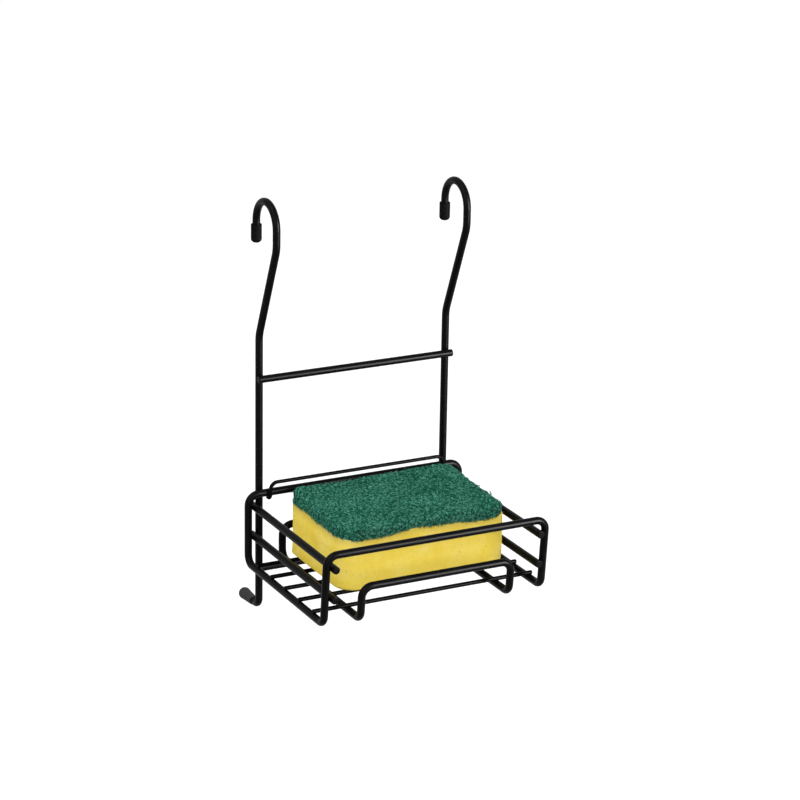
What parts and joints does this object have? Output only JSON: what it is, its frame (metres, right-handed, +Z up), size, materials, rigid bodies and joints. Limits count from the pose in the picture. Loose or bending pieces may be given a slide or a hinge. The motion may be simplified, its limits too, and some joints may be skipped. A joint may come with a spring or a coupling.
{
  "type": "sponge holder",
  "caption": "Black coated wire sponge holder that hangs on a rail by two hooks, with an open basket, rubber bumpers for the wall and a foam sponge with a scouring pad.",
  "frame": {"origin": "on the axis of the round rail that the holder hangs on, midway between the two hooks", "axes": "+X along the rail to the holder's right as seen from the front, +Y back to the wall, +Z up"},
  "size_m": [0.166, 0.1586, 0.2947],
  "materials": {
    "coated_wire": "satin black powder coat",
    "cap_rubber": "matt dark grey",
    "yellow_foam": "open-cell foam with fine pores",
    "green_scour": "coarse non-woven fibre"
  },
  "bodies": {
    "holder": {"left_hanger": "coated_wire", "right_hanger": "coated_wire", "left_hook_cap": "cap_rubber", "right_hook_cap": "cap_rubber", "left_foot_cap": "cap_rubber", "right_foot_cap": "cap_rubber", "upper_spreader": "coated_wire", "lower_spreader": "coated_wire", "basket_frame": "coated_wire", "tray_frame": "coated_wire", "left_upper_side_rail": "coated_wire", "left_lower_side_rail": "coated_wire", "right_upper_side_rail": "coated_wire", "right_lower_side_rail": "coated_wire", "raised_back_rail": "coated_wire", "floor_wire_1": "coated_wire", "floor_wire_2": "coated_wire", "floor_wire_3": "coated_wire", "floor_wire_4": "coated_wire", "floor_wire_5": "coated_wire"},
    "sponge": {"sponge_foam": "yellow_foam", "scouring_pad": "green_scour"}
  },
  "joints": [
    {"name": "sponge_lift", "type": "slide", "parent": "holder", "child": "sponge", "axis": [0, 0, 1], "range_m": [0, 0.08]}
  ]
}
